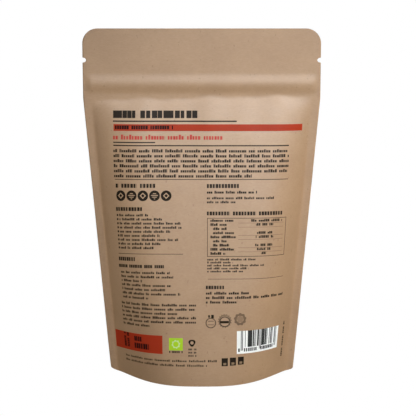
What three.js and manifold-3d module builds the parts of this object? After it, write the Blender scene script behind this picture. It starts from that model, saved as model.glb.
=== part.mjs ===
// A filled kraft-paper stand-up pouch: the one-kilogram size for pitted dates.
//
// Two paper panels are heat sealed to each other down both sides, a folded bottom gusset is sealed
// between their lower edges, and a press-to-close zipper lies inside the flat header. The dates
// that fill the pouch are one fused heap inside it.
//
// Millimetres, +Z up. The origin is at the middle of the base, the printed back panel faces -Y,
// and the two side seals and the header lie in the plane y = 0.

import * as THREE from "three";
import { mergeVertices } from "three/addons/utils/BufferGeometryUtils.js";
import Module from "manifold-3d";

const wasm = await Module();
wasm.setup();

// Driving dimensions
const FLAT_WIDTH = 190;
const HEIGHT = 281;
const FILL_TOP = 226;
const BASE_WIDTH = 150.8;
const BASE_DEPTH = 91;
const SIDE_SEAL = 5;
const SHEET = 0.6;
const CLEARANCE = 0.4;

const TOP_CORNER_RADIUS = 12;
const BOTTOM_CORNER = { start: 66, lift: 2.5, radius: 3 };
const NOTCH = { height: 256, depth: 2.8, halfWidth: 2 };

const ZIPPER = { height: 237, ridge: 1.5, halfHeight: 9, halfLength: 81.5 };

// The section from side seal to side seal is round at the base and flatter in front towards the
// zipper. The swell dies away towards the zipper by a power, with a soft shoulder under it.
const SECTION = { baseFullness: 2.9, topFullness: 8, toe: 1.3 };
const SWELL_POWER = 0.7;
const SHOULDER_SOFTNESS = 0.02;

const GUSSET = {
  flatHalfLength: 46,
  halfLength: 69.5,
  tipRise: 36,
  tipHalfWidth: 1.4,
  sealBand: 7,
  bend: 2.4,
};

// The dates: PRESSED is how near the middle lines of two touching dates lie, and how far
const DATES = { count: 96, length: 38, thickness: 18, fillHeight: 203, clearance: 1.9, seed: 11 };
const PRESSED = { least: 12, most: 13.2 };
const PLACES_TRIED = 60000;

// Half width of the pouch's outline at height z: it draws in as the filling swells the panels
function halfWidth(z) {
  const t = Math.min(Math.max(z / FILL_TOP, 0), 1);
  return THREE.MathUtils.lerp(BASE_WIDTH / 2, FLAT_WIDTH / 2, t);
}

// Depth of one panel's swell on the centre line. The width that the outline loses goes into depth, so
// that the paper from seal to seal keeps its flat width, within about a millimetre a side.
function swell(z) {
  const t = Math.max(1 - z / FILL_TOP, 0);
  return (BASE_DEPTH / 2) * t ** SWELL_POWER * Math.sqrt(t / (t + SHOULDER_SOFTNESS));
}

// Share of the swell across the section: 1 on the centre line, 0 at the side seals
function section(x, z) {
  const up = Math.min(z / FILL_TOP, 1);
  const fullness = THREE.MathUtils.lerp(SECTION.baseFullness, SECTION.topFullness, up);
  const across = Math.min(Math.abs(x) / (halfWidth(z) - SIDE_SEAL), 1);
  return (1 - across ** fullness) ** SECTION.toe;
}

// The low rounded ridge that the zipper raises across the header
function zipperRidge(x, z) {
  const up = Math.min(Math.abs(z - ZIPPER.height) / ZIPPER.halfHeight, 1);
  const along = THREE.MathUtils.smoothstep(Math.abs(x), ZIPPER.halfLength + 1, halfWidth(z) - SIDE_SEAL);
  return ZIPPER.ridge * Math.cos((up * Math.PI) / 2) ** 2 * (1 - along);
}

// Distance from the plane y = 0 to the inside of a panel
function panelInside(x, z) {
  return swell(z) * section(x, z) + zipperRidge(x, z);
}

// A closed sheet from a grid of columns and rows: place(column, row, side) gives a point of its
// outer skin for side 0 and of its inner skin for side 1, and a rim joins the two. Both skins are
// split along the same diagonals, so that they never cross. turned flips every face.
function sheet(columns, rows, place, turned = false) {
  const positions = [];
  for (const side of [0, 1]) {
    for (let r = 0; r <= rows; r++) {
      for (let c = 0; c <= columns; c++) positions.push(...place(c, r, side));
    }
  }
  const skin = (columns + 1) * (rows + 1);
  const at = (c, r, side) => side * skin + r * (columns + 1) + c;
  const faces = [];
  const quad = (a, b, c, d) => faces.push(a, b, c, a, c, d);

  for (let r = 0; r < rows; r++) {
    for (let c = 0; c < columns; c++) {
      quad(at(c, r, 0), at(c + 1, r, 0), at(c + 1, r + 1, 0), at(c, r + 1, 0));
      const [p, q, s, t] = [at(c, r, 1), at(c + 1, r, 1), at(c + 1, r + 1, 1), at(c, r + 1, 1)];
      faces.push(p, s, q, p, t, s);
    }
  }
  for (let c = 0; c < columns; c++) {
    quad(at(c + 1, 0, 0), at(c, 0, 0), at(c, 0, 1), at(c + 1, 0, 1));
    quad(at(c, rows, 0), at(c + 1, rows, 0), at(c + 1, rows, 1), at(c, rows, 1));
  }
  for (let r = 0; r < rows; r++) {
    quad(at(0, r, 0), at(0, r + 1, 0), at(0, r + 1, 1), at(0, r, 1));
    quad(at(columns, r + 1, 0), at(columns, r, 0), at(columns, r, 1), at(columns, r + 1, 1));
  }
  if (turned) {
    for (let i = 0; i < faces.length; i += 3) [faces[i + 1], faces[i + 2]] = [faces[i + 2], faces[i + 1]];
  }

  const geometry = new THREE.BufferGeometry();
  geometry.setAttribute("position", new THREE.Float32BufferAttribute(positions, 3));
  geometry.setIndex(faces);
  return geometry;
}

// A three.js geometry as a solid that can be joined and cut, and back again
function solid(geometry) {
  const bare = geometry.clone();
  bare.deleteAttribute("normal");
  bare.deleteAttribute("uv");
  const merged = mergeVertices(bare, 1e-4);
  return new wasm.Manifold(new wasm.Mesh({
    numProp: 3,
    vertProperties: new Float32Array(merged.attributes.position.array),
    triVerts: new Uint32Array(merged.index.array),
  }));
}

function geometryOf(manifold) {
  const mesh = manifold.getMesh();
  const geometry = new THREE.BufferGeometry();
  geometry.setAttribute("position", new THREE.Float32BufferAttribute(mesh.vertProperties, 3));
  geometry.setIndex(Array.from(mesh.triVerts));
  return geometry;
}

// The pouch's flat outline in x and z: tapered sides, rounded upper corners, lower corners that stand
// a little clear of the table, and one tear notch each side
function outline() {
  const shape = new THREE.Shape();
  const top = FLAT_WIDTH / 2;
  const high = TOP_CORNER_RADIUS;
  const { start, lift, radius } = BOTTOM_CORNER;
  const heel = BASE_WIDTH / 2 - radius;
  const cornerTop = lift + 2 * radius;
  shape.moveTo(-start, 0);
  shape.lineTo(start, 0);
  shape.quadraticCurveTo((start + heel) / 2, 0, heel, lift);
  shape.quadraticCurveTo(halfWidth(lift), lift + radius / 2, halfWidth(cornerTop), cornerTop);
  shape.lineTo(top, FILL_TOP);
  notch(shape, top, 1);
  shape.lineTo(top, HEIGHT - high);
  shape.absarc(top - high, HEIGHT - high, high, 0, Math.PI / 2, false);
  shape.lineTo(-top + high, HEIGHT);
  shape.absarc(-top + high, HEIGHT - high, high, Math.PI / 2, Math.PI, false);
  notch(shape, -top, -1);
  shape.lineTo(-top, FILL_TOP);
  shape.lineTo(-halfWidth(cornerTop), cornerTop);
  shape.quadraticCurveTo(-halfWidth(lift), lift + radius / 2, -heel, lift);
  shape.quadraticCurveTo(-(start + heel) / 2, 0, -start, 0);
  return shape;
}

// A tear notch: a short round-ended nick in the side seal, drawn upwards when way is 1
function notch(shape, edge, way) {
  const tip = Math.sign(edge) * NOTCH.depth;
  const [first, last] = [NOTCH.height - way * NOTCH.halfWidth, NOTCH.height + way * NOTCH.halfWidth];
  shape.lineTo(edge, first);
  shape.quadraticCurveTo(edge - tip, first, edge - tip, NOTCH.height);
  shape.quadraticCurveTo(edge - tip, last, edge, last);
}

// Heights of the panel's grid rows: close at the shoulder and the zipper, wide where it is plain
const PANEL_ROWS = [
  0, 14, 30, 48, 66, 84, 102, 120, 138, 155, 170, 183, 194, 203, 210, 215.5, 219.5, 222.5, 224.5, FILL_TOP,
  ...[-1, -0.7, -0.27, 0, 0.27, 0.7, 1].map((share) => ZIPPER.height + share * ZIPPER.halfHeight),
  HEIGHT,
];
const SWELL_COLUMNS = 24;
const SWELL_GATHER = 0.45;

// Places across a width, from -1 to 1: even steps for gather 0, closer at the two ends as it grows
function gathered(step, steps, gather) {
  const share = (2 * step) / steps - 1;
  return (1 - gather) * share + gather * Math.sin((share * Math.PI) / 2);
}

// x of a panel's grid column: the outer column runs past the outline, the next one is the inner edge
// of the side seal, and the rest share the swell so that they are closest at its steep flanks
function columnX(column, z) {
  if (column === 0) return -halfWidth(z) - SIDE_SEAL;
  if (column === SWELL_COLUMNS + 2) return halfWidth(z) + SIDE_SEAL;
  return (halfWidth(z) - SIDE_SEAL) * gathered(column - 1, SWELL_COLUMNS, SWELL_GATHER);
}

// One paper panel. way is -1 for the printed back panel and 1 for the front panel.
function panel(way) {
  const grid = sheet(SWELL_COLUMNS + 2, PANEL_ROWS.length - 1, (c, r, side) => {
    const z = PANEL_ROWS[r];
    const x = columnX(c, z);
    return [x, way * (panelInside(x, z) + (side === 0 ? SHEET : 0)), z];
  }, way > 0);

  const through = 1.4 * BASE_DEPTH;
  const cutter = new THREE.ExtrudeGeometry(outline(), { depth: through, bevelEnabled: false, curveSegments: 5 });
  cutter.rotateX(Math.PI / 2);
  cutter.translate(0, through / 2, 0);
  return geometryOf(solid(grid).intersect(solid(cutter)));
}

// Height of the gusset's floor: flat where it stands, rising to the fold tips at the side seals
function gussetFloor(x) {
  const past = Math.max(Math.abs(x) - GUSSET.flatHalfLength, 0);
  return GUSSET.tipRise * (past / (GUSSET.halfLength - GUSSET.flatHalfLength)) ** 1.5;
}

// The bottom gusset: a floor with a turned-up band all round, which is sealed to both panels. Across
// it the grid runs from the band's top edge on the back panel, over the floor, to the front panel.
const GUSSET_COLUMNS = 22;
const GUSSET_SECTION = ["bandTop", "bandFoot", "bend", "floorEdge", "middle"];

function gussetPoint(x, station, side) {
  const floor = gussetFloor(x);
  const inset = (z) => Math.max(panelInside(x, z) - CLEARANCE, GUSSET.tipHalfWidth);
  const bend = Math.min(GUSSET.bend, 0.4 * inset(floor));
  const thick = side === 0 ? 0 : SHEET;
  const bandTop = floor + GUSSET.sealBand;
  if (station === "bandTop") return [inset(bandTop) - thick, bandTop];
  if (station === "bandFoot") return [inset(floor + bend) - thick, floor + bend];
  if (station === "bend") return [inset(floor) - 0.3 * bend - 0.7 * thick, floor + 0.3 * bend + 0.7 * thick];
  if (station === "floorEdge") return [inset(floor) - bend, floor + thick];
  return [0, floor + thick];
}

function gusset() {
  const half = GUSSET_SECTION.length - 1;
  return sheet(GUSSET_COLUMNS, 2 * half, (c, r, side) => {
    const x = GUSSET.halfLength * gathered(c, GUSSET_COLUMNS, 0.3);
    const station = GUSSET_SECTION[r <= half ? r : 2 * half - r];
    const [y, z] = gussetPoint(x, station, side);
    return [x, r <= half ? -y : y, z];
  }, true);
}

// One half of the press-to-close zipper, drawn along x. profile lists its corners as pairs of y and z,
// counted from the zipper's middle line.
function zipperStrip(profile) {
  const shape = new THREE.Shape(profile.map(([y, z]) => new THREE.Vector2(y, z)));
  const strip = new THREE.ExtrudeGeometry(shape, { depth: 2 * ZIPPER.halfLength, bevelEnabled: false });
  strip.applyMatrix4(new THREE.Matrix4().makeBasis(
    new THREE.Vector3(0, 1, 0),
    new THREE.Vector3(0, 0, 1),
    new THREE.Vector3(1, 0, 0),
  ));
  strip.translate(-ZIPPER.halfLength, 0, ZIPPER.height);
  return strip;
}

const TAPE = { outer: 0.95, inner: 0.6, halfHeight: 2.4 };
const RIB = { tip: 0.3, halfThickness: 0.4 };
const GROOVE = { lip: 0.3, near: 0.7, far: 1.3 };

function ribProfile() {
  return [
    [-TAPE.outer, -TAPE.halfHeight], [-TAPE.inner, -TAPE.halfHeight],
    [-TAPE.inner, -RIB.halfThickness], [RIB.tip, -RIB.halfThickness],
    [RIB.tip, RIB.halfThickness], [-TAPE.inner, RIB.halfThickness],
    [-TAPE.inner, TAPE.halfHeight], [-TAPE.outer, TAPE.halfHeight],
  ];
}

function grooveProfile() {
  return [
    [TAPE.outer, TAPE.halfHeight], [TAPE.inner, TAPE.halfHeight],
    [TAPE.inner, GROOVE.far], [-GROOVE.lip, GROOVE.far],
    [-GROOVE.lip, GROOVE.near], [TAPE.inner, GROOVE.near],
    [TAPE.inner, -GROOVE.near], [-GROOVE.lip, -GROOVE.near],
    [-GROOVE.lip, -GROOVE.far], [TAPE.inner, -GROOVE.far],
    [TAPE.inner, -TAPE.halfHeight], [TAPE.outer, -TAPE.halfHeight],
  ];
}

// A small seeded generator, so that the heap is the same every time
function seeded(seed) {
  let state = seed;
  return () => {
    state = (state * 48271) % 2147483647;
    return state / 2147483647;
  };
}

// One date before it is placed: a long low-sided spheroid along x
function dateBlank() {
  const blank = new THREE.SphereGeometry(1, 6, 4);
  blank.rotateZ(Math.PI / 2);
  blank.scale(DATES.length / 2, DATES.thickness / 2, DATES.thickness / 2);
  return blank;
}

// Whether every corner of a date is inside the pouch, clear of the paper
function fitsInside(points) {
  return points.every(({ x, y, z }) =>
    Math.abs(x) < halfWidth(z) - SIDE_SEAL - DATES.clearance
    && Math.abs(y) < panelInside(x, z) - DATES.clearance
    && z > gussetFloor(x) + DATES.clearance
    && z < DATES.fillHeight);
}

function cornersOf(geometry) {
  const position = geometry.attributes.position;
  const corner = (_, i) => new THREE.Vector3().fromBufferAttribute(position, i);
  return Array.from({ length: position.count }, corner);
}

// Shortest distance between the middle lines of two dates, from a few points along each
function lineDistance(a, b) {
  let least = Infinity;
  for (const p of a.line) for (const q of b.line) least = Math.min(least, p.distanceTo(q));
  return least;
}

// The heap: dates are dropped at seeded places, lying mostly flat, and one is kept when it is inside
// the pouch and presses a little into at least one of the others but not far into any.
const LINE_POINTS = [-0.55, -0.28, 0, 0.28, 0.55];
const MOST_TILT = 0.45;

function dateHeap() {
  const draw = seeded(DATES.seed);
  const spread = (reach) => reach * (2 * draw() - 1);
  const radius = DATES.thickness / 2;
  const blank = dateBlank();
  const kept = [];
  for (let attempt = 0; attempt < PLACES_TRIED && kept.length < DATES.count; attempt++) {
    const centre = new THREE.Vector3(
      spread(BASE_WIDTH / 2),
      spread(BASE_DEPTH / 2 - radius),
      THREE.MathUtils.lerp(radius, DATES.fillHeight - radius, draw()),
    );
    const turn = new THREE.Euler(draw() * Math.PI, spread(MOST_TILT), draw() * Math.PI, "ZYX");
    const place = new THREE.Matrix4().makeRotationFromEuler(turn).setPosition(centre);
    const line = LINE_POINTS.map((share) =>
      new THREE.Vector3((share * DATES.length) / 2, 0, 0).applyMatrix4(place));
    const distances = kept.map((other) => lineDistance(other, { line }));
    const nearest = Math.min(...distances);
    if (kept.length && (nearest < PRESSED.least || nearest > PRESSED.most)) continue;
    const geometry = blank.clone().applyMatrix4(place);
    if (!fitsInside(cornersOf(geometry))) continue;
    kept.push({ line, geometry });
  }
  return wasm.Manifold.union(kept.map(({ geometry }) => solid(geometry)));
}

// The outer body of a solid: its largest closed surface, with any hollow sealed inside it filled
function outerBody(manifold) {
  const geometry = geometryOf(manifold);
  const position = geometry.attributes.position;
  const index = geometry.index.array;
  const parent = Array.from({ length: position.count }, (_, i) => i);
  const root = (i) => {
    while (parent[i] !== i) i = parent[i] = parent[parent[i]];
    return i;
  };
  for (let i = 0; i < index.length; i += 3) {
    parent[root(index[i + 1])] = root(index[i]);
    parent[root(index[i + 2])] = root(index[i]);
  }

  const surfaces = new Map();
  const [a, b, c] = [new THREE.Vector3(), new THREE.Vector3(), new THREE.Vector3()];
  for (let i = 0; i < index.length; i += 3) {
    const key = root(index[i]);
    if (!surfaces.has(key)) surfaces.set(key, { volume: 0, faces: [] });
    a.fromBufferAttribute(position, index[i]);
    b.fromBufferAttribute(position, index[i + 1]);
    c.fromBufferAttribute(position, index[i + 2]);
    surfaces.get(key).volume += a.dot(b.cross(c)) / 6;
    surfaces.get(key).faces.push(index[i], index[i + 1], index[i + 2]);
  }
  const largest = [...surfaces.values()].reduce((best, one) => (one.volume > best.volume ? one : best));
  geometry.setIndex(largest.faces);
  return geometry;
}

// Materials
const kraft = { color: 0xb9a184, roughness: 0.75, metalness: 0 };
const liner = { color: 0xc9c4ba, roughness: 0.5, metalness: 0 };
const clearPlastic = { color: 0xe6e6e2, roughness: 0.35, metalness: 0 };
const dateSkin = { color: 0x4a2413, roughness: 0.45, metalness: 0 };

const pouch = new THREE.Group();

function add(name, geometry, look) {
  const mesh = new THREE.Mesh(geometry, new THREE.MeshStandardMaterial(look));
  mesh.name = name;
  pouch.add(mesh);
}

add("back_panel", panel(-1), kraft);
add("front_panel", panel(1), kraft);
add("bottom_gusset", gusset(), liner);
add("zipper_rib_strip", zipperStrip(ribProfile()), clearPlastic);
add("zipper_groove_strip", zipperStrip(grooveProfile()), clearPlastic);
add("dates", outerBody(dateHeap()), dateSkin);

export default pouch;
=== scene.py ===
"""A filled kraft stand-up pouch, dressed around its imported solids.

The printed back panel faces -Y. Sizes are in millimetres, counted from the middle of the base, and
become metres only where a mesh is written. The print is laid out on the flat sheet: u runs across
from the middle line, v runs up from the bottom edge, and both follow the paper over its swell.
"""

import math
from collections import namedtuple

import bmesh
import bpy
import numpy as np
from mathutils import Euler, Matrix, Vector, noise


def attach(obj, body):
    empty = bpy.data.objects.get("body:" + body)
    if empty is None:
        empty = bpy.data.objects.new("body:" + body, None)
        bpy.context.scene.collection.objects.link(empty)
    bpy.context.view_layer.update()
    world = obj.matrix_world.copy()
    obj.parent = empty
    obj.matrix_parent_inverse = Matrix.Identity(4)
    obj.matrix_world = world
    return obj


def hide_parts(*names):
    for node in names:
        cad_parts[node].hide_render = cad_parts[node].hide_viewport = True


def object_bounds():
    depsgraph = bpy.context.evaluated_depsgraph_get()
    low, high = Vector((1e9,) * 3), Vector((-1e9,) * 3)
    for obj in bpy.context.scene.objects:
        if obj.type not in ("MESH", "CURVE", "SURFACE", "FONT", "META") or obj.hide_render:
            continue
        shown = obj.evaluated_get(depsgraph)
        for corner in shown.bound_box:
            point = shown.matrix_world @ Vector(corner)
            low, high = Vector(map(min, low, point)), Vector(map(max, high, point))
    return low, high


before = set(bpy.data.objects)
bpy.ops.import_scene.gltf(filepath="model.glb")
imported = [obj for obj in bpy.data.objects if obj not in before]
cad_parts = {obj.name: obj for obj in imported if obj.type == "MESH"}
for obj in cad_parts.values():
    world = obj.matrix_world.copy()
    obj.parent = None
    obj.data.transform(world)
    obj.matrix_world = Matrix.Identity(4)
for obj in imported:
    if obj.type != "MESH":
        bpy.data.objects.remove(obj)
CAD_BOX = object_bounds()
MM = 0.001

# Driving sizes of the pouch. The two outer ones come from the frame.
FLAT_HALF = CAD_BOX[1][0] / MM
HEIGHT = CAD_BOX[1][2] / MM
FILL_TOP = 226
BASE_HALF = 75.4
HALF_DEPTH = 45.5
SIDE_SEAL = 5
PAPER = 0.3
SEAL_GAP = 0.02

TOP_CORNER_RADIUS = 12
BOTTOM_CORNER_START = 69.5
BOTTOM_CORNER_RADIUS = 2
LEFT_CORNER_LIFT = 1.9
RIGHT_CORNER_LIFT = 1.2
CORNER_LIFT_REACH = 24
NOTCH_HEIGHT = 256
NOTCH_DEPTH = 2.8
NOTCH_HALF_WIDTH = 2

ZIPPER_CREST = 237
ZIPPER_RIDGE = 1.5
ZIPPER_SPREAD = 9

# How full the section is, and how softly the swell starts beside the seals and under the zipper
BASE_FULLNESS = 2.9
TOP_FULLNESS = 8
FLANK = 1.3
TOE = 2.5
TOE_FADE = 30
SWELL_POWER = 0.7
SHOULDER_SOFTNESS = 0.02

# The shoulder's line: its drop below FILL_TOP at the left, and its rise from there to the right
SHOULDER_DROP = 1.5
SHOULDER_RISE = 2.2

# The filled paper is uneven above its foot, and nearly flat again from the shoulder up
UNEVEN_ABOVE = 16
FLAT_FROM = 218
FLAT_TO = 229
FLATTENED_SHARE = 0.85

# How much lower the print lies at each side seal, and between which heights that dies away
LEFT_SLIP = 4.2
RIGHT_SLIP = 2
SLIP_FADE_FROM = 110
SLIP_FADE_TO = 205

GUSSET_FLAT_HALF = 46
GUSSET_HALF = 69.5
GUSSET_TIP_RISE = 36
GUSSET_TIP_HALF_WIDTH = 1.4
GUSSET_BAND = 7
GUSSET_BEND = 2.4
GUSSET_CLEARANCE = 0.4
GUSSET_LIFT = 0.05

# Where the gusset's grid reaches its band and leaves its floor, as shares of the way out
GUSSET_BAND_FOOT = 0.8
GUSSET_FLOOR_EDGE = 0.7

PANEL_COLUMNS = 180
GUSSET_COLUMNS = 150
GUSSET_ROWS = 90


def smooth(low, high, value):
    """0 below low, 1 above high, and an easy step between them."""
    share = np.clip((value - low) / (high - low), 0, 1)
    return share * share * (3 - 2 * share)


def half_width(z):
    """Half width of the outline: the sides draw in as the filling swells the panels."""
    return BASE_HALF + (FLAT_HALF - BASE_HALF) * np.clip(z / FILL_TOP, 0, 1)


def shoulder_line(x):
    """Height at which the swell starts under the zipper: lower at the left, and a little wavy."""
    level = FILL_TOP - SHOULDER_DROP + SHOULDER_RISE * smooth(-80, 60, x)
    return level + 0.7 * np.sin(x / 9 + 1) + 0.5 * np.sin(x / 4.3)


def swell(x, z):
    """Depth of a panel's swell on its middle line. Its shoulder lies on shoulder_line."""
    below = np.clip(1 - z / shoulder_line(x), 0, 1)
    return HALF_DEPTH * below ** SWELL_POWER * np.sqrt(below / (below + SHOULDER_SOFTNESS))


def section(x, z):
    """Share of the swell across the pouch: 1 in the middle, 0 at the side seals."""
    reach = half_width(z) - SIDE_SEAL
    across = np.clip(np.abs(x) / reach, 0, 1)
    fullness = BASE_FULLNESS + (TOP_FULLNESS - BASE_FULLNESS) * np.clip(z / FILL_TOP, 0, 1)
    soft = 1 - np.exp(-((reach * (1 - across)) / TOE) ** 2)
    soft = 1 - (1 - soft) * smooth(0, TOE_FADE, z)
    return (1 - across ** fullness) ** FLANK * soft


def zipper_ridge(x, z):
    """The low ridge across the header where the closed zipper lies, flattened in the side seals."""
    up = np.clip(np.abs(z - ZIPPER_CREST) / ZIPPER_SPREAD, 0, 1)
    along = smooth(half_width(z) - SIDE_SEAL - 2, half_width(z) - 1, np.abs(x))
    return ZIPPER_RIDGE * np.cos(up * math.pi / 2) ** 2 * (1 - along)


def panel_depth(x, z):
    """Distance from the plane of the seals to the inside of a panel."""
    return swell(x, z) * section(x, z) + zipper_ridge(x, z)


def waves(x, z, seed):
    """Broad unevenness of the filled paper, at most about half a millimetre each way."""
    slow = [noise.noise(Vector((a / 42, b / 30, seed))) for a, b in zip(x.flat, z.flat)]
    quick = [noise.noise(Vector((a / 15, b / 19, seed + 7))) for a, b in zip(x.flat, z.flat)]
    return 0.45 * np.reshape(slow, x.shape) + 0.14 * np.reshape(quick, x.shape)


def panel_heights():
    """Heights of a panel's grid rows: close in the rounded corners and at the tear notches."""
    turn = np.linspace(0, math.pi / 2, 7)
    low = BOTTOM_CORNER_RADIUS * (1 - np.cos(turn))
    turn = np.linspace(math.pi / 2, 0, 13)
    high = HEIGHT - TOP_CORNER_RADIUS * (1 - np.cos(turn))
    nick = NOTCH_HEIGHT + np.linspace(-NOTCH_HALF_WIDTH, NOTCH_HALF_WIDTH, 13)
    middle = np.linspace(low[-1], nick[0] - 0.5, 205)
    above = np.linspace(nick[-1] + 0.5, high[0], 9)
    return np.concatenate([low, middle[1:], nick, above, high[1:]])


def edge_inset(z):
    """How far the outline stands in from its straight side: corner rounding and tear notches."""
    low = np.clip((BOTTOM_CORNER_RADIUS - z) / BOTTOM_CORNER_RADIUS, 0, 1)
    high = np.clip((z - HEIGHT + TOP_CORNER_RADIUS) / TOP_CORNER_RADIUS, 0, 1)
    nick = np.clip(np.abs(z - NOTCH_HEIGHT) / NOTCH_HALF_WIDTH, 0, 1)
    rounding = BOTTOM_CORNER_RADIUS * (1 - np.sqrt(1 - low ** 2))
    rounding += TOP_CORNER_RADIUS * (1 - np.sqrt(1 - high ** 2))
    return rounding + NOTCH_DEPTH * np.sqrt(1 - nick ** 2)


def corner_lift(x, z):
    """How far the two bottom corners stand clear of the table."""
    past = smooth(BOTTOM_CORNER_START, BASE_HALF, np.abs(x))
    lift = np.where(x < 0, LEFT_CORNER_LIFT, RIGHT_CORNER_LIFT)
    return lift * past * np.clip(1 - z / CORNER_LIFT_REACH, 0, 1)


def paper_grid(seed):
    """Where each row and column of a panel lies, as arrays of x, z, inside depth, u and v.

    The columns are evenly spaced along the paper itself, so they close up on the steep flanks.
    """
    heights = panel_heights()
    shares = np.linspace(-1, 1, PANEL_COLUMNS + 1)
    fine = np.linspace(0, 1, 241)
    x = np.empty((len(heights), len(shares)))
    u = np.empty_like(x)
    for row, z in enumerate(heights):
        line = fine * (half_width(z) - edge_inset(z))
        rise = np.diff(swell(0, z) * section(line, np.full_like(line, z)))
        length = np.concatenate([[0], np.cumsum(np.hypot(np.diff(line), rise))])
        u[row] = shares * length[-1]
        x[row] = np.sign(shares) * np.interp(np.abs(u[row]), length, line)
    z = np.repeat(heights[:, None], len(shares), axis=1)
    depth = panel_depth(x, z)
    uneven = np.clip(1.2 * section(x, z) * smooth(0, UNEVEN_ABOVE, z), 0, 1)
    uneven *= 1 - FLATTENED_SHARE * smooth(FLAT_FROM, FLAT_TO, z)
    depth = depth + waves(x, z, seed) * uneven
    raised = z + corner_lift(x, z)
    return x, raised, np.maximum(depth, SEAL_GAP), u, print_height(x, z)


def print_height(x, z):
    """v of a place on the paper: length up the middle line, and the sheet's slip at the sides."""
    levels = np.linspace(0, HEIGHT, 1500)
    rise = np.diff(swell(0, levels))
    up = np.concatenate([[0], np.cumsum(np.hypot(np.diff(levels), rise))])
    slip = np.where(x < 0, LEFT_SLIP, RIGHT_SLIP)
    slip = slip * (1 - smooth(SLIP_FADE_FROM, SLIP_FADE_TO, z))
    return np.interp(z, levels, up) + slip * (1 - section(x, z))


# The piece's map: the outer face takes the wide part, and the inner face a narrow strip beside it
MAP_NAME = "OFBake"
MAP_SPAN = 300
MAP_FOOT = 4
SHEET_HALF = 97
STRIP_START = 0.67
STRIP_WIDTH = 0.31


def add_object(name, data):
    """A new object in the scene."""
    made = bpy.data.objects.new(name, data)
    bpy.context.scene.collection.objects.link(made)
    return made


def grid_skin(bm, columns, rows, place, flipped):
    """One skin of a sheet: a bmesh grid whose corners are moved to place(row, column), in mm."""
    made = bmesh.ops.create_grid(bm, x_segments=columns, y_segments=rows, size=1)
    skin = {}
    for vert in made["verts"]:
        row = round((vert.co.y + 1) / 2 * rows)
        column = round((vert.co.x + 1) / 2 * columns)
        vert.co = Vector(place(row, column)) * MM
        skin[vert] = (row, column)
    faces = {face for vert in skin for face in vert.link_faces}
    if flipped:
        bmesh.ops.reverse_faces(bm, faces=list(faces))
    return skin, faces


def closed_sheet(name, columns, rows, outer_place, inner_place, flipped, map_place):
    """A closed sheet of paper: an outer and an inner skin, bridged all round, and its map."""
    bm = bmesh.new()
    outer, outer_faces = grid_skin(bm, columns, rows, outer_place, flipped)
    inner, inner_faces = grid_skin(bm, columns, rows, inner_place, not flipped)
    rim = [edge for edge in bm.edges if edge.is_boundary]
    bmesh.ops.bridge_loops(bm, edges=rim)
    corners = {**outer, **inner}
    layer = bm.loops.layers.uv.new(MAP_NAME)
    for face in bm.faces:
        face.smooth = face in outer_faces or face in inner_faces
        face.material_index = 1 if face in inner_faces else 0
        for loop in face.loops:
            loop[layer].uv = map_place(*corners[loop.vert], face in inner_faces)
    mesh = bpy.data.meshes.new(name)
    bm.to_mesh(mesh)
    bm.free()
    return add_object(name, mesh)


def pouch_panel(name, way, seed):
    """One paper panel: way is -1 for the printed back panel and 1 for the front panel."""
    x, z, depth, u, v = paper_grid(seed)
    rows, columns = x.shape[0] - 1, x.shape[1] - 1

    def outer(row, column):
        return x[row, column], way * (depth[row, column] + PAPER), z[row, column]

    def inner(row, column):
        return x[row, column], way * depth[row, column], z[row, column]

    def on_map(row, column, inside):
        across = (u[row, column] + SHEET_HALF) / MAP_SPAN
        up = (v[row, column] + MAP_FOOT) / MAP_SPAN
        if inside:
            across = STRIP_START + STRIP_WIDTH * across * MAP_SPAN / (2 * SHEET_HALF)
        return across, up

    return closed_sheet(name, columns, rows, outer, inner, way > 0, on_map)


def gusset_floor(x):
    """Height of the gusset's floor: flat where it stands, rising to the fold tips at the sides."""
    past = np.maximum(np.abs(x) - GUSSET_FLAT_HALF, 0)
    return GUSSET_TIP_RISE * (past / (GUSSET_HALF - GUSSET_FLAT_HALF)) ** 1.5


def gusset_inset(x, z):
    """Half distance between the gusset's two walls, just inside the panels."""
    return np.maximum(panel_depth(x, z) - GUSSET_CLEARANCE, GUSSET_TIP_HALF_WIDTH)


def gusset_place(row, column, lift):
    """A point of the gusset: up the panel's inside, round a soft bend and over the floor."""
    share = 2 * column / GUSSET_COLUMNS - 1
    x = GUSSET_HALF * (0.55 * share + 0.45 * math.sin(share * math.pi / 2))
    floor = float(gusset_floor(x))
    side = 2 * row / GUSSET_ROWS - 1
    along = abs(side)
    bend = min(GUSSET_BEND, 0.4 * float(gusset_inset(x, floor)))
    if along > GUSSET_BAND_FOOT:
        past = along - GUSSET_BAND_FOOT
        z = floor + bend + (GUSSET_BAND - bend) * past / (1 - GUSSET_BAND_FOOT)
        y = float(gusset_inset(x, z)) - lift
    elif along > GUSSET_FLOOR_EDGE:
        bent = (along - GUSSET_FLOOR_EDGE) / (GUSSET_BAND_FOOT - GUSSET_FLOOR_EDGE)
        turn = bent * math.pi / 2
        foot = float(gusset_inset(x, floor + bend))
        y = foot - bend + (bend - lift) * math.sin(turn)
        z = floor + bend - (bend - lift) * math.cos(turn)
    else:
        y = (float(gusset_inset(x, floor + bend)) - bend) * along / GUSSET_FLOOR_EDGE
        crease = 0.5 * math.exp(-(y / 1.6) ** 2)
        z = floor + lift + crease
    return x, math.copysign(y, side), z


def gusset_sheet(name):
    """The folded bottom gusset, sealed inside the lower edges of the two panels."""

    def on_map(row, column, inside):
        across = 0.02 + 0.96 * column / GUSSET_COLUMNS
        up = 0.02 + 0.46 * row / GUSSET_ROWS + (0.5 if inside else 0)
        return across, up

    return closed_sheet(
        name, GUSSET_COLUMNS, GUSSET_ROWS,
        lambda row, column: gusset_place(row, column, GUSSET_LIFT),
        lambda row, column: gusset_place(row, column, GUSSET_LIFT + PAPER),
        True, on_map,
    )


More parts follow.
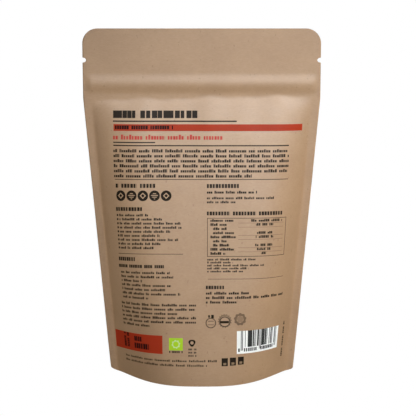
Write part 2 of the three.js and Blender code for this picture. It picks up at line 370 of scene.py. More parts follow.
# Short calls for shader nodes
def feed(tree, socket, value):
    """Gives a socket a number, a colour or another node's output."""
    if isinstance(value, bpy.types.NodeSocket):
        tree.links.new(value, socket)
    else:
        socket.default_value = value


def calc(tree, operation, *values, clamp=False):
    """A Math node."""
    node = tree.nodes.new("ShaderNodeMath")
    node.operation = operation
    node.use_clamp = clamp
    for socket, value in zip(node.inputs, values):
        feed(tree, socket, value)
    return node.outputs[0]


def vector_calc(tree, operation, *values):
    """A Vector Math node."""
    node = tree.nodes.new("ShaderNodeVectorMath")
    node.operation = operation
    for socket, value in zip(node.inputs, values):
        feed(tree, socket, value)
    return node.outputs[1 if operation == "LENGTH" else 0]


def join(tree, x, y, z=0.0):
    """A vector from three values."""
    node = tree.nodes.new("ShaderNodeCombineXYZ")
    for socket, value in zip(node.inputs, (x, y, z)):
        feed(tree, socket, value)
    return node.outputs[0]


def split(tree, vector):
    """The three values of a vector."""
    node = tree.nodes.new("ShaderNodeSeparateXYZ")
    feed(tree, node.inputs[0], vector)
    return node.outputs


def mix(tree, factor, under, over, kind="RGBA"):
    """A Mix node for two colours, vectors or floats."""
    node = tree.nodes.new("ShaderNodeMix")
    node.data_type = kind
    first = {"FLOAT": 2, "VECTOR": 4, "RGBA": 6}[kind]
    feed(tree, node.inputs[0], factor)
    feed(tree, node.inputs[first], under)
    feed(tree, node.inputs[first + 1], over)
    return node.outputs[{"FLOAT": 0, "VECTOR": 1, "RGBA": 2}[kind]]


def new_group(name, inputs, outputs):
    """An empty node group with named sockets, and its two end nodes."""
    tree = bpy.data.node_groups.new(name, "ShaderNodeTree")
    for label, kind in inputs:
        tree.interface.new_socket(label, in_out="INPUT", socket_type="NodeSocket" + kind)
    for label, kind in outputs:
        tree.interface.new_socket(label, in_out="OUTPUT", socket_type="NodeSocket" + kind)
    return tree, tree.nodes.new("NodeGroupInput"), tree.nodes.new("NodeGroupOutput")


def use(tree, group, **values):
    """Places a node group and sets its inputs. Words in an input's name are joined by _ here."""
    node = tree.nodes.new("ShaderNodeGroup")
    node.node_tree = group
    for label, value in values.items():
        feed(tree, node.inputs[label.replace("_", " ")], value)
    return node.outputs


def tint(red, green, blue):
    """A colour given as it looks on a screen, from 0 to 255, as the shader wants it."""
    def linear(value):
        value = value / 255
        return value / 12.92 if value < 0.04045 else ((value + 0.055) / 1.055) ** 2.4
    return linear(red), linear(green), linear(blue), 1.0


KRAFT = tint(179, 146, 111)
KRAFT_SHADE = tint(163, 130, 96)
LINER = tint(206, 203, 196)
INK = tint(12, 12, 11)
RED_INK = tint(168, 54, 28)
TAGLINE_INK = tint(186, 56, 50)
LIME = tint(174, 216, 48)
LABEL_WHITE = tint(248, 250, 247)
PAPER_SHEEN = 0.2
INK_DULLING = 0.18
PAPER_GRAIN = 0.12


# Masks on the flat sheet
def box_group():
    """1 inside an upright box on the sheet, 0 outside."""
    tree, start, end = new_group(
        "Box on the sheet",
        [("Place", "Vector"), ("Centre", "Vector"), ("Half size", "Vector")],
        [("Mask", "Float")],
    )
    away = vector_calc(tree, "SUBTRACT", start.outputs["Place"], start.outputs["Centre"])
    away = vector_calc(tree, "ABSOLUTE", away)
    past = vector_calc(tree, "SUBTRACT", away, start.outputs["Half size"])
    past = vector_calc(tree, "MAXIMUM", past, (0, 0, 0))
    far = vector_calc(tree, "LENGTH", past)
    feed(tree, end.inputs["Mask"], calc(tree, "LESS_THAN", far, 0.00001))
    return tree


def ring_group():
    """1 between two radii round a point on the sheet, with a count of teeth cut into its rim."""
    tree, start, end = new_group(
        "Ring on the sheet",
        [("Place", "Vector"), ("Centre", "Vector"), ("Inner radius", "Float"),
         ("Outer radius", "Float"), ("Teeth", "Float"), ("Tooth depth", "Float")],
        [("Mask", "Float")],
    )
    away = vector_calc(tree, "SUBTRACT", start.outputs["Place"], start.outputs["Centre"])
    far = vector_calc(tree, "LENGTH", away)
    x, y, _ = split(tree, away)
    turn = calc(tree, "MULTIPLY", calc(tree, "ARCTAN2", y, x), start.outputs["Teeth"])
    bite = calc(tree, "MULTIPLY", calc(tree, "SINE", turn), start.outputs["Tooth depth"])
    rim = calc(tree, "ADD", start.outputs["Outer radius"], bite)
    inside = calc(tree, "LESS_THAN", far, rim)
    past = calc(tree, "GREATER_THAN", far, start.outputs["Inner radius"])
    feed(tree, end.inputs["Mask"], calc(tree, "MULTIPLY", inside, past))
    return tree


def type_group():
    """Plain upright strokes that stand for rows of small type, with gaps between the words.

    Letters counts letters in x and rows in y, and holds the block's seed in z. Band is the share
    of a row that is inked, Weight the share of a letter, Word the letters from one gap to the
    next, Tall the share of tall letters and Fill the ink between the strokes of a word.
    """
    tree, start, end = new_group(
        "Rows of strokes",
        [("Letters", "Vector"), ("Band", "Float"), ("Weight", "Float"), ("Word", "Float"),
         ("Tall", "Float"), ("Fill", "Float")],
        [("Ink", "Float")],
    )

    def draw(x, y, z):
        chance = tree.nodes.new("ShaderNodeTexWhiteNoise")
        chance.noise_dimensions = "3D"
        feed(tree, chance.inputs["Vector"], join(tree, x, y, z))
        return split(tree, chance.outputs["Color"])

    across, down, seed = split(tree, start.outputs["Letters"])
    letter = calc(tree, "FLOOR", across)
    row = calc(tree, "FLOOR", down)
    draws = draw(letter, row, seed)

    moved = calc(tree, "ADD", letter, 5.0)
    word = calc(tree, "FLOOR", calc(tree, "DIVIDE", moved, start.outputs["Word"]))
    in_word = calc(tree, "SUBTRACT", moved, calc(tree, "MULTIPLY", word, start.outputs["Word"]))
    word_draw = draw(word, row, calc(tree, "ADD", seed, 40.0))[0]
    gap = calc(tree, "FLOOR", calc(tree, "MULTIPLY", word_draw, 4.0))
    full = calc(tree, "SUBTRACT", 1.0, calc(tree, "COMPARE", in_word, gap, 0.4))

    breadth = calc(tree, "MULTIPLY_ADD", draws[0], 0.5, 0.75)
    breadth = calc(tree, "MULTIPLY", breadth, start.outputs["Weight"])
    stroke = calc(tree, "LESS_THAN", calc(tree, "SUBTRACT", across, letter), breadth)
    stroke = calc(tree, "MAXIMUM", stroke, start.outputs["Fill"])
    along = calc(tree, "DIVIDE", calc(tree, "SUBTRACT", down, row), start.outputs["Band"])
    in_row = calc(tree, "LESS_THAN", along, 1.0)
    tall = calc(tree, "LESS_THAN", draws[1], start.outputs["Tall"])
    body = calc(tree, "MAXIMUM", tall, calc(tree, "GREATER_THAN", along, 0.28))
    ink = calc(tree, "MULTIPLY", calc(tree, "MULTIPLY", full, stroke), in_row)
    feed(tree, end.inputs["Ink"], calc(tree, "MULTIPLY", ink, body))
    return tree


def kraft_group():
    """Unbleached kraft: broad tone, fine fibres and a few dark specks, with a matching grain."""
    tree, start, end = new_group(
        "Kraft paper",
        [("Place", "Vector"), ("Light", "Color"), ("Dark", "Color")],
        [("Color", "Color"), ("Roughness", "Float"), ("Height", "Float")],
    )

    def cloud(scale, detail, stretch=(1, 1, 1)):
        node = tree.nodes.new("ShaderNodeTexNoise")
        stretched = vector_calc(tree, "MULTIPLY", start.outputs["Place"], stretch)
        feed(tree, node.inputs["Vector"], stretched)
        node.inputs["Scale"].default_value = scale
        node.inputs["Detail"].default_value = detail
        return node.outputs["Fac"]

    broad = cloud(28, 3)
    mottle = cloud(170, 4)
    fibres = cloud(900, 3, (0.45, 1, 1.3))
    specks = cloud(520, 2, (1, 1, 0.5))
    tone = calc(tree, "MULTIPLY_ADD", broad, 1.1, -0.3)
    tone = calc(tree, "MULTIPLY_ADD", mottle, 0.55, calc(tree, "SUBTRACT", tone, 0.25))
    tone = calc(tree, "MULTIPLY_ADD", fibres, 0.9, calc(tree, "SUBTRACT", tone, 0.45), clamp=True)
    colour = mix(tree, tone, start.outputs["Dark"], start.outputs["Light"])
    dark = calc(tree, "MULTIPLY", calc(tree, "GREATER_THAN", specks, 0.71), 0.35)
    colour = mix(tree, dark, colour, tint(120, 92, 66))
    feed(tree, end.inputs["Color"], colour)
    feed(tree, end.inputs["Roughness"], calc(tree, "MULTIPLY_ADD", mottle, 0.2, 0.5))
    height = calc(tree, "MULTIPLY_ADD", mottle, 0.6, calc(tree, "MULTIPLY", fibres, 0.5))
    feed(tree, end.inputs["Height"], height)
    return tree


BOX = box_group()
RING = ring_group()
TYPE = type_group()
KRAFT_PAPER = kraft_group()

# A block of type: its left and right ends, the top of its first row, rows, pitch, letter height and
# width, the look of its strokes, and where each row ends and starts if the rows are uneven
Block = namedtuple(
    "Block", "left right top rows pitch height letter weight word tall fill ends starts",
    defaults=(0.55, 6, 0.3, 0.5, (), ()),
)
CAPS = 1.0
ONE_WORD = 99

TYPE_BLOCKS = {
    "title, first word": Block(-70.9, -52.2, 220.1, 1, 6.4, 6.2, 3.8, 0.86, ONE_WORD, CAPS, 0),
    "title, second word": Block(-49, -2.9, 220.1, 1, 6.4, 6.2, 4.6, 0.82, ONE_WORD, CAPS, 0),
    "line in the band": Block(-69.4, -22.9, 207.8, 1, 3.2, 3, 1.9, 0.65, 9, CAPS, 0.5),
    "tagline": Block(-71, 17.8, 200.5, 1, 5, 4, 2.2, 0.6, 7, 0.3, 0.3),
    "introduction": Block(-71, 70, 188.8, 5, 4, 2.6, 1.75, 0.6, 7),
    "introduction, last row": Block(-71, 39.8, 168.8, 1, 4, 2.6, 1.75, 0.6, 8),
    "uses heading": Block(-69.8, -37, 161.2, 1, 4, 3.2, 2.6, 0.62, 6, CAPS, 0.35),
    "benefits heading": Block(-70.5, -47.5, 142.6, 1, 4, 3, 2.4, 0.62, ONE_WORD, CAPS, 0.35),
    "benefits": Block(
        -67.5, -14, 137.3, 9, 3.26, 2, 1.4,
        ends=(-42.6, -31.5, -16.8, -15.8, -25, -33.4, -18.6, -32.4, -38)),
    "recipe heading": Block(-71, -54, 102.6, 1, 4, 3.1, 2.3, 0.62, ONE_WORD, CAPS, 0.35),
    "recipe name": Block(-71.5, -30, 96.6, 1, 3, 2.5, 1.7, 0.65, 8, CAPS),
    "recipe list": Block(
        -69.5, -16, 91.4, 7, 3.4, 2, 1.45, ends=(-25.4, -22.6, -48, -24.4, -28.2, -17, -43)),
    "recipe steps": Block(
        -72, -4.5, 65.8, 6, 3.4, 2, 1.55, ends=(-4.5, -4.5, -18.4, -4.5, -4.5, -42.3)),
    "ingredients heading": Block(4.2, 29.6, 161.1, 1, 4, 3.2, 2.4, 0.62, ONE_WORD, CAPS, 0.35),
    "ingredients": Block(4.2, 44, 155.7, 1, 3.4, 2.2, 1.5, 0.65),
    "allergens": Block(4.2, 57.8, 151, 2, 3.2, 2, 1.35, ends=(57.8, 27)),
    "table heading": Block(4.2, 65.6, 139.2, 1, 4, 3, 2.3, 0.62, 11, CAPS, 0.35),
    "table labels": Block(
        7, 28, 133.2, 9, 3.28, 2.1, 1.45, 0.68, 9, 0.4,
        ends=(25.2, 19.8, 20, 26.8, 28, 20, 21.8, 25.6, 18.8), starts=(7, 7, 9, 9, 7, 9, 9, 7, 7)),
    "table values, first row": Block(39.4, 65.6, 133.2, 1, 3.28, 2.1, 1.5, 0.62, 7, 0.8),
    "table values": Block(
        42.6, 58.2, 129.9, 8, 3.28, 2, 1.45, 0.6, 5, 0.8,
        ends=(57.5, 42.6, 57, 57.8, 42.6, 57.2, 55.6, 51.6),
        starts=(43.2, 57, 43.4, 43, 57, 42.6, 44, 47.6)),
    "notes": Block(4.5, 50, 101.9, 5, 2.35, 1.6, 1.25, ends=(43.2, 24.8, 50, 37.2, 32.8)),
    "storage heading": Block(3.4, 17.7, 80.3, 1, 4, 2.7, 2.2, 0.62, ONE_WORD, CAPS, 0.35),
    "storage": Block(3.4, 72, 75.5, 3, 3.55, 2.2, 1.65, 0.6, ends=(37.8, 72, 28)),
    "address": Block(-73, 12.2, 21.2, 2, 3.6, 1.7, 1.5, 0.5, 9, 0.4, 0.35, ends=(12.2, 4.2)),
    "caption under the lime patch": Block(-25.9, -15, 28.3, 1, 2, 1.7, 1.1, 0.6, 6, CAPS, 0.2),
    "lines under the round mark": Block(-10.5, -4, 30.3, 3, 2.55, 1.4, 1.1, 0.6, 6, CAPS, 0.2),
    "upper words in the red block": Block(-59, -50.6, 38, 1, 4.6, 4, 2.2, 0.72, ONE_WORD, CAPS, 0),
    "lower words in the red block": Block(
        -59.3, -43.6, 32.5, 1, 4.8, 4.5, 2.5, 0.72, ONE_WORD, CAPS, 0),
    "left mark under the bars": Block(29.2, 31, 29.9, 1, 3, 2.8, 1.8, 0.7, ONE_WORD, CAPS, 0.2),
    "left marks under the bars": Block(34, 46, 29.9, 1, 3, 2.8, 1.9, 0.62, ONE_WORD, CAPS, 0.25),
    "right marks under the bars": Block(
        49.6, 64.6, 29.9, 1, 3, 2.8, 2.2, 0.62, ONE_WORD, CAPS, 0.25),
}
TURNED_BLOCKS = {
    "line up the red block": Block(28, 40.2, 73.2, 2, 4.4, 3.1, 1.5, 0.62, 8, CAPS),
    "line up the right side": Block(16.5, 46.6, -77.3, 1, 2.2, 2, 1.5, 0.6, 7, CAPS, 0.2),
}

# The rest of the print. A rule or a box is given by its left, right, bottom and top edge.
RULES = (
    (-71, 28, 210.8, 211.9), (-71, -37, 193.7, 194.6), (-71, 70, 191.2, 192.1),
    (-70.5, 70, 164.4, 164.9), (-71, -14.8, 105.1, 105.5), (5, 70.8, 85.4, 85.7),
)
TABLE_OUTSIDE = (4.4, 69.8, 103.3, 134.1)
TABLE_INSIDE = (4.8, 69.4, 103.7, 133.7)
TABLE_ROWS_TOP = 133.5
RULED_ROWS = (1, 2, 4, 5, 7, 8)
BULLET_LEFT, BULLET_RIGHT = -70.2, -68.6
FAINT_SEAL = (30.7, 53.4)
LABEL_TOP = 44
GUARD_FOOT = 28
BARS_FOOT = 30.6
BAR_UNIT = 0.42

# Left and bottom edge of each of the three small squares
SQUARES = ((15.9, 16.2), (22.5, 16.4), (29.1, 16.7))


def box_mask(tree, place, left, right, bottom, top):
    """1 inside a box given by its four edges."""
    centre = ((left + right) / 2, (bottom + top) / 2, 0)
    half = ((right - left) / 2, (top - bottom) / 2, 0)
    return use(tree, BOX, Place=place, Centre=centre, Half_size=half)["Mask"]


def ring_mask(tree, place, centre, inner, outer, teeth=0, tooth_depth=0):
    """1 between two radii round a centre, with any teeth cut into the rim."""
    return use(tree, RING, Place=place, Centre=(*centre, 0), Inner_radius=inner,
               Outer_radius=outer, Teeth=teeth, Tooth_depth=tooth_depth)["Mask"]


def row_limit(tree, down, block, limits):
    """The limit of the row that a place is in, out of one limit for each row of a block."""
    ramp = tree.nodes.new("ShaderNodeValToRGB")
    ramp.color_ramp.interpolation = "CONSTANT"
    stops = ramp.color_ramp.elements
    stops.remove(stops[1])
    for row, limit in enumerate(limits):
        share = (limit - block.left) / (block.right - block.left)
        stop = stops[0] if row == 0 else stops.new(row / block.rows)
        stop.color = (share, share, share, 1)
    row = calc(tree, "ADD", calc(tree, "FLOOR", down), 0.5)
    feed(tree, ramp.inputs["Fac"], calc(tree, "DIVIDE", row, float(block.rows)))
    return calc(tree, "MULTIPLY_ADD", ramp.outputs["Color"], block.right - block.left, block.left)


def type_ink(tree, place, turned_place):
    """The ink of every block of type, as one mask."""
    letters, look, finish = (0.0, 0.0, 0.0), (1.0, 0.0, 1.0), (0.0, 0.0, 0.0)
    blocks = [(place, block) for block in TYPE_BLOCKS.values()]
    blocks += [(turned_place, block) for block in TURNED_BLOCKS.values()]
    inked = 0.0
    for seed, (where, block) in enumerate(blocks):
        across, up, _ = split(tree, where)
        bottom = block.top - block.rows * block.pitch
        mask = box_mask(tree, where, block.left, block.right, bottom, block.top)
        down = calc(tree, "DIVIDE", calc(tree, "SUBTRACT", block.top, up), block.pitch)
        if block.ends:
            short = calc(tree, "LESS_THAN", across, row_limit(tree, down, block, block.ends))
            mask = calc(tree, "MULTIPLY", mask, short)
        if block.starts:
            begun = calc(tree, "GREATER_THAN", across, row_limit(tree, down, block, block.starts))
            mask = calc(tree, "MULTIPLY", mask, begun)
        count = calc(tree, "DIVIDE", calc(tree, "SUBTRACT", across, block.left), block.letter)
        own = join(tree, count, down, seed + 0.5)
        letters = mix(tree, mask, letters, own, "VECTOR")
        own_look = (block.height / block.pitch, block.weight, block.word)
        look = mix(tree, mask, look, own_look, "VECTOR")
        finish = mix(tree, mask, finish, (block.tall, block.fill, 0), "VECTOR")
        inked = calc(tree, "MAXIMUM", inked, mask)
    band, weight, word = split(tree, look)
    tall, fill, _ = split(tree, finish)
    strokes = use(
        tree, TYPE, Letters=letters, Band=band, Weight=weight, Word=word, Tall=tall, Fill=fill)
    return calc(tree, "MULTIPLY", strokes["Ink"], inked)


def any_of(tree, masks):
    """1 where any of the masks is 1."""
    joined = masks[0]
    for mask in masks[1:]:
        joined = calc(tree, "MAXIMUM", joined, mask)
    return joined


def rules(tree, place):
    """The thin printed rules and the table's frame."""
    lines = [box_mask(tree, place, *edges) for edges in RULES]
    frame_box = box_mask(tree, place, *TABLE_OUTSIDE)
    hollow = box_mask(tree, place, *TABLE_INSIDE)
    lines.append(calc(tree, "SUBTRACT", frame_box, hollow))
    pitch = TYPE_BLOCKS["table labels"].pitch
    for row in RULED_ROWS:
        foot = TABLE_ROWS_TOP - pitch * row
        line = box_mask(tree, place, 29, 67, foot - 0.3, foot)
        lines.append(calc(tree, "MULTIPLY", line, 0.5))
    return any_of(tree, lines)


def bullets(tree, place):
    """Small square bullets beside the list of benefits."""
    block = TYPE_BLOCKS["benefits"]
    _, up, _ = split(tree, place)
    down = calc(tree, "DIVIDE", calc(tree, "SUBTRACT", block.top, up), block.pitch)
    row = calc(tree, "FRACT", down)
    bottom = block.top - block.rows * block.pitch
    column = box_mask(tree, place, BULLET_LEFT, BULLET_RIGHT, bottom, block.top)
    off_middle = calc(tree, "ABSOLUTE", calc(tree, "SUBTRACT", row, 0.33))
    in_row = calc(tree, "LESS_THAN", off_middle, 0.24)
    return calc(tree, "MULTIPLY", column, in_row)


def disc_row(tree, place):
    """Five dark discs in a row, and the plain pale lozenge or bars inside each."""
    first, pitch, height, radius = -65.4, 9.3, 151.7, 4.25
    across, up, _ = split(tree, place)
    count = calc(tree, "DIVIDE", calc(tree, "SUBTRACT", across, first - pitch / 2), pitch)
    aside = calc(tree, "MULTIPLY", calc(tree, "SUBTRACT", calc(tree, "FRACT", count), 0.5), pitch)
    above = calc(tree, "SUBTRACT", up, height)
    near = box_mask(tree, place, first - pitch / 2, first + 4.5 * pitch, height - 5, height + 5)
    own = join(tree, aside, above)
    inside = calc(tree, "LESS_THAN", vector_calc(tree, "LENGTH", own), radius)
    disc = calc(tree, "MULTIPLY", near, inside)
    reach = calc(tree, "ADD", calc(tree, "ABSOLUTE", aside), calc(tree, "ABSOLUTE", above))
    off_line = calc(tree, "ABSOLUTE", calc(tree, "SUBTRACT", reach, 2))
    lozenge = calc(tree, "LESS_THAN", off_line, 0.55)
    bars = calc(tree, "LESS_THAN", calc(tree, "FRACT", calc(tree, "MULTIPLY", above, 0.7)), 0.45)
    bars = calc(tree, "MULTIPLY", bars, calc(tree, "LESS_THAN", reach, 3))
    odd = calc(tree, "MODULO", calc(tree, "FLOOR", count), 2.0)
    pale = mix(tree, odd, lozenge, bars, "FLOAT")
    return disc, calc(tree, "MULTIPLY", disc, pale)


def seal_row(tree, place):
    """Three round seals: a ring with two marks over it, a toothed ring with a bar, a faint one."""
    plain = ring_mask(tree, place, (7.3, 50.7), 3.4, 4.2)
    marks = [
        box_mask(tree, place, 5.2, 6.6, 55, 56.9),
        box_mask(tree, place, 7.6, 9.7, 54.5, 57.2),
    ]
    stripes = any_of(tree, [
        box_mask(tree, place, 5, 9.7, 51.8, 52.5),
        box_mask(tree, place, 4.8, 9.8, 49, 49.6),
    ])
    inner = ring_mask(tree, place, (18.4, 51.6), 3.5, 4.3)
    bar = box_mask(tree, place, 14.8, 21.7, 50.4, 52.3)
    teeth = ring_mask(tree, place, (18.4, 52.3), 4, 5.2, 16, 0.5)
    soft = ring_mask(tree, place, FAINT_SEAL, 2.9, 4.8, 9, 0.35)
    core = ring_mask(tree, place, FAINT_SEAL, 0, 3, 5, 0.8)
    faint = [
        calc(tree, "MULTIPLY", stripes, 0.6), calc(tree, "MULTIPLY", teeth, 0.55),
        calc(tree, "MULTIPLY", soft, 0.6), calc(tree, "MULTIPLY", core, 0.35),
    ]
    ring = calc(tree, "MULTIPLY", plain, 0.75)
    return any_of(tree, [ring, *marks, calc(tree, "MULTIPLY", inner, 0.85), bar, *faint])


def label_bars(tree, place):
    """Dark upright bars of uneven width for the white label."""
    across, _, _ = split(tree, place)
    chance = tree.nodes.new("ShaderNodeTexWhiteNoise")
    chance.noise_dimensions = "1D"
    feed(tree, chance.inputs["W"], calc(tree, "FLOOR", calc(tree, "DIVIDE", across, BAR_UNIT)))
    dark = calc(tree, "LESS_THAN", chance.outputs["Value"], 0.42)
    bars = box_mask(tree, place, 33.6, 65.4, BARS_FOOT, LABEL_TOP)
    dark = calc(tree, "MULTIPLY", dark, bars)
    guards = [
        box_mask(tree, place, left, left + 0.6, GUARD_FOOT, LABEL_TOP)
        for left in (31.4, 32.5, 48, 49.1, 65.6, 66.8)]
    wide = [
        box_mask(tree, place, 37.2, 40.4, BARS_FOOT, LABEL_TOP),
        box_mask(tree, place, 53.6, 55.2, BARS_FOOT, LABEL_TOP),
    ]
    return any_of(tree, [dark, *wide, *guards])


def print_colour(tree, place, kraft):
    """The printed sheet's colour and the mask of its ink, painted over the kraft."""
    across, up, _ = split(tree, place)
    turned_place = join(tree, up, calc(tree, "MULTIPLY", across, -1.0))
    red = any_of(tree, [
        box_mask(tree, place, -70.6, 81.2, 203.4, 208.9),
        box_mask(tree, place, -87.3, -31.4, 25.4, 40.2),
    ])
    lime = box_mask(tree, place, -26, -15, 28.7, 38.5)
    lime_ring = ring_mask(tree, place, (-20.5, 33.6), 2.2, 3.2, 8, 0.3)
    white = box_mask(tree, place, 28.1, 70.3, 25.5, LABEL_TOP)
    round_mark = ring_mask(tree, place, (-7.7, 34.8), 1.3, 2.7, 3, 0.3)
    squares = any_of(tree, [
        box_mask(tree, place, left, left + 5, foot, foot + 6.4) for left, foot in SQUARES])
    windows = any_of(tree, [
        box_mask(tree, place, left + 1.3, left + 3.7, foot + 0.8, foot + 2.6)
        for left, foot in SQUARES])
    disc, pale = disc_row(tree, place)
    bars = label_bars(tree, place)
    dark = any_of(tree, [
        type_ink(tree, place, turned_place), rules(tree, place), bullets(tree, place),
        calc(tree, "SUBTRACT", disc, pale), seal_row(tree, place), round_mark,
        calc(tree, "SUBTRACT", squares, calc(tree, "MULTIPLY", windows, 0.6)), bars,
    ])
    tagline = box_mask(tree, place, -73, 18, 195.5, 200.8)

    ink = mix(tree, tagline, INK, TAGLINE_INK)
    colour = mix(tree, red, kraft, RED_INK)
    colour = mix(tree, lime, colour, LIME)
    colour = mix(tree, calc(tree, "MULTIPLY", lime_ring, 0.35), colour, LABEL_WHITE)
    colour = mix(tree, white, colour, LABEL_WHITE)
    colour = mix(tree, calc(tree, "MULTIPLY", dark, 0.96), colour, ink)
    return colour, any_of(tree, [red, lime, white, dark])


def new_material(name):
    """A material with an empty Principled surface. Returns it, its tree and its shader."""
    material = bpy.data.materials.new(name)
    material.use_nodes = True
    return material, material.node_tree, material.node_tree.nodes["Principled BSDF"]


def object_place(tree):
    """Places in the object's own axes, for patterns that run through the paper."""
    return tree.nodes.new("ShaderNodeTexCoord").outputs["Object"]


def grain(tree, shader, height, distance, strength=0.5):
    """Makes a surface look uneven by a height of 0 to 1, worth distance in millimetres."""
    bump = tree.nodes.new("ShaderNodeBump")
    bump.inputs["Strength"].default_value = strength
    bump.inputs["Distance"].default_value = distance * MM
    feed(tree, bump.inputs["Height"], height)
    feed(tree, shader.inputs["Normal"], bump.outputs["Normal"])


def printed_kraft():
    """The printed panel's outer face."""
    material, tree, shader = new_material("printed kraft")
    uv = tree.nodes.new("ShaderNodeUVMap")
    uv.uv_map = MAP_NAME
    place = vector_calc(tree, "MULTIPLY", uv.outputs["UV"], (MAP_SPAN, MAP_SPAN, 0))
    place = vector_calc(tree, "SUBTRACT", place, (SHEET_HALF, MAP_FOOT, 0))
    paper = use(tree, KRAFT_PAPER, Place=object_place(tree), Light=KRAFT, Dark=KRAFT_SHADE)
    colour, ink = print_colour(tree, place, paper["Color"])
    feed(tree, shader.inputs["Base Color"], colour)
    rough = calc(tree, "MULTIPLY_ADD", ink, -0.08, paper["Roughness"])
    feed(tree, shader.inputs["Roughness"], rough)
    sheen = calc(tree, "MULTIPLY_ADD", ink, -INK_DULLING, PAPER_SHEEN)
    feed(tree, shader.inputs["Specular IOR Level"], sheen)
    grain(tree, shader, paper["Height"], PAPER_GRAIN)
    return material


def plain_kraft():
    """The unprinted kraft of the front panel."""
    material, tree, shader = new_material("plain kraft")
    paper = use(tree, KRAFT_PAPER, Place=object_place(tree), Light=KRAFT, Dark=KRAFT_SHADE)
    feed(tree, shader.inputs["Base Color"], paper["Color"])
    feed(tree, shader.inputs["Roughness"], paper["Roughness"])
    shader.inputs["Specular IOR Level"].default_value = PAPER_SHEEN
    grain(tree, shader, paper["Height"], PAPER_GRAIN)
    return material


def liner_film():
    """The pale barrier film on the inside of the paper."""
    material, tree, shader = new_material("liner film")
    cloud = tree.nodes.new("ShaderNodeTexNoise")
    feed(tree, cloud.inputs["Vector"], object_place(tree))
    cloud.inputs["Scale"].default_value = 90
    tone = mix(tree, cloud.outputs["Fac"], LINER, tint(188, 184, 176))
    feed(tree, shader.inputs["Base Color"], tone)
    rough = calc(tree, "MULTIPLY_ADD", cloud.outputs["Fac"], 0.2, 0.25)
    feed(tree, shader.inputs["Roughness"], rough)
    grain(tree, shader, cloud.outputs["Fac"], 0.1)
    return material


def zipper_plastic():
    """The translucent white plastic of the press-to-close strips."""
    material, tree, shader = new_material("zipper plastic")
    cloud = tree.nodes.new("ShaderNodeTexNoise")
    stretched = vector_calc(tree, "MULTIPLY", object_place(tree), (0.1, 1, 1))
    feed(tree, cloud.inputs["Vector"], stretched)
    cloud.inputs["Scale"].default_value = 700
    tone = mix(tree, cloud.outputs["Fac"], tint(226, 226, 220), tint(240, 240, 236))
    feed(tree, shader.inputs["Base Color"], tone)
    rough = calc(tree, "MULTIPLY_ADD", cloud.outputs["Fac"], 0.15, 0.25)
    feed(tree, shader.inputs["Roughness"], rough)
    shader.inputs["Transmission Weight"].default_value = 0.3
    grain(tree, shader, cloud.outputs["Fac"], 0.05)
    return material


def date_skin():
    """Dark wrinkled date skin with a dull sugar bloom."""
    material, tree, shader = new_material("date skin")
    place = object_place(tree)
    wrinkles = tree.nodes.new("ShaderNodeTexNoise")
    feed(tree, wrinkles.inputs["Vector"], place)
    wrinkles.inputs["Scale"].default_value = 260
    wrinkles.inputs["Detail"].default_value = 4
    wrinkles.inputs["Distortion"].default_value = 1.5
    bloom = tree.nodes.new("ShaderNodeTexNoise")
    feed(tree, bloom.inputs["Vector"], place)
    bloom.inputs["Scale"].default_value = 60
    skin = mix(tree, wrinkles.outputs["Fac"], tint(46, 20, 10), tint(104, 54, 28))
    share = calc(tree, "MULTIPLY_ADD", bloom.outputs["Fac"], 1.6, -0.8, clamp=True)
    feed(tree, shader.inputs["Base Color"], mix(tree, share, skin, tint(146, 104, 74)))
    rough = calc(tree, "MULTIPLY_ADD", bloom.outputs["Fac"], 0.4, 0.2)
    feed(tree, shader.inputs["Roughness"], rough)
    grain(tree, shader, wrinkles.outputs["Fac"], 1.2)
    return material


def dress(piece, *materials):
    """Gives a piece or a CAD node its materials, in the order of its slots."""
    piece.data.materials.clear()
    for material in materials:
        piece.data.materials.append(material)


# Stage, light and camera. The camera stands where one fitted to the photograph does: a metre away,
# a little above the pouch's mouth and looking down, with the pouch just left of the middle.
CAMERA_PLACE = (5.05, -1000, 302)
CAMERA_PITCH = 9.4
CAMERA_FOCAL = 107.9
FLOOR_SIZE = 30000


def floor():
    """A plain floor that the camera sees pure white and that throws little light on the pouch."""
    bm = bmesh.new()
    bmesh.ops.create_grid(bm, x_segments=2, y_segments=2, size=FLOOR_SIZE / 2 * MM)
    mesh = bpy.data.meshes.new("floor")
    bm.to_mesh(mesh)
    bm.free()
    ground = add_object("floor", mesh)

    material, tree, shader = new_material("white floor")
    shader.inputs["Base Color"].default_value = (0, 0, 0, 1)
    shader.inputs["Specular IOR Level"].default_value = 0
    shader.inputs["Emission Color"].default_value = (1, 1, 1, 1)
    shader.inputs["Emission Strength"].default_value = 1
    dim = tree.nodes.new("ShaderNodeBsdfDiffuse")
    dim.inputs["Color"].default_value = (0.1, 0.1, 0.1, 1)
    rays = tree.nodes.new("ShaderNodeLightPath")
    choice = tree.nodes.new("ShaderNodeMixShader")
    feed(tree, choice.inputs[0], rays.outputs["Is Camera Ray"])
    feed(tree, choice.inputs[1], dim.outputs["BSDF"])
    feed(tree, choice.inputs[2], shader.outputs["BSDF"])
    feed(tree, tree.nodes["Material Output"].inputs["Surface"], choice.outputs["Shader"])
    dress(ground, material)


def aimed_lamp(name, data, place, target):
    """Puts a light at place, turned towards target."""
    lamp = add_object(name, data)
    lamp.location = Vector(place) * MM
    lamp.rotation_euler = (Vector(target) - Vector(place)).to_track_quat("-Z", "Y").to_euler()
    return lamp


def soft_light(name, place, target, size, watts):
    """A square studio light at place, turned towards target."""
    data = bpy.data.lights.new(name, "AREA")
    data.shape = "SQUARE"
    data.size = size * MM
    data.energy = watts
    return aimed_lamp(name, data, place, target)


def spot(name, place, target, size, watts, angle):
    """A round studio light with a soft-edged beam."""
    data = bpy.data.lights.new(name, "SPOT")
    data.shadow_soft_size = size * MM
    data.energy = watts
    data.spot_size = math.radians(angle)
    data.spot_blend = 1.0
    return aimed_lamp(name, data, place, target)


def gloss_only(lamp):
    """Lets a light show in the paper's sheen and leave its colour alone."""
    lamp.visible_diffuse = False


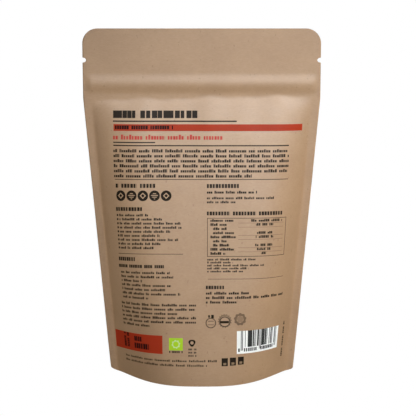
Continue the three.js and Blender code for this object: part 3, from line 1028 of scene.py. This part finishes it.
def surroundings(strength):
    """An even white surround, weaker on the pouch than it shows behind it."""
    world = bpy.data.worlds.new("studio")
    world.use_nodes = True
    bpy.context.scene.world = world
    tree = world.node_tree
    rays = tree.nodes.new("ShaderNodeLightPath")
    level = mix(tree, rays.outputs["Is Camera Ray"], strength, 1.0, "FLOAT")
    back = tree.nodes["Background"]
    back.inputs["Color"].default_value = (1, 1, 1, 1)
    feed(tree, back.inputs["Strength"], level)


def camera():
    """The camera, at the place, pitch and focal length given above."""
    data = bpy.data.cameras.new("camera")
    data.sensor_width = 36
    data.lens = CAMERA_FOCAL
    view = add_object("camera", data)
    view.location = Vector(CAMERA_PLACE) * MM
    view.rotation_euler = Euler((math.radians(90 - CAMERA_PITCH), 0, 0))
    bpy.context.scene.camera = view


def lights():
    """Soft light from the front and both sides, a key light from the upper right, and the sheen.

    Two of the sheen's lights stand where the key light and the front light do.
    """
    # Each a place and the target that the light is turned towards
    key = (200, -600, 500), (20, -40, 170)
    front = (0, -900, 500), (0, -20, 150)
    spot("key", *key, 80, 4.8, 36)
    spot("near top", (150, -160, 480), (10, -30, 170), 60, 1.2, 70)
    spot("low left", (-260, -200, 40), (-60, -10, 60), 80, 0.3, 120)
    spot("low right", (260, -200, 60), (60, -10, 60), 80, 0.8, 120)
    soft_light("front", *front, 700, 2.3)
    soft_light("left side", (-700, -350, 150), (-50, -20, 110), 500, 2)
    soft_light("right side", (700, -350, 150), (50, -20, 110), 500, 3.3)
    gloss_only(spot("sheen", *key, 80, 58, 36))
    gloss_only(soft_light("high sheen", (0, -500, 900), (0, -30, 150), 500, 21))
    gloss_only(soft_light("upper sheen", (320, -700, 820), (40, -20, 210), 200, 26))
    gloss_only(soft_light("front sheen", *front, 700, 3))


def build():
    """Makes every piece and puts it on the frame."""
    kraft, liner = plain_kraft(), liner_film()
    pieces = {
        "printed_panel": (pouch_panel("printed_panel", -1, 3), "back_panel", "kraft_printed"),
        "plain_panel": (pouch_panel("plain_panel", 1, 11), "front_panel", "kraft_plain"),
        "gusset_fold": (gusset_sheet("gusset_fold"), "bottom_gusset", "kraft_gusset"),
    }
    dress(pieces["printed_panel"][0], printed_kraft(), liner)
    dress(pieces["plain_panel"][0], kraft, liner)
    dress(pieces["gusset_fold"][0], kraft, liner)
    for piece, node, slot in pieces.values():
        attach(piece, "root")
        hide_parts(node)
    plastic = zipper_plastic()
    dress(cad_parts["zipper_rib_strip"], plastic)
    dress(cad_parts["zipper_groove_strip"], plastic)
    dress(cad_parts["dates"], date_skin())


camera()
floor()
surroundings(0.07)
lights()
bpy.context.scene.view_settings.view_transform = "Standard"
build()
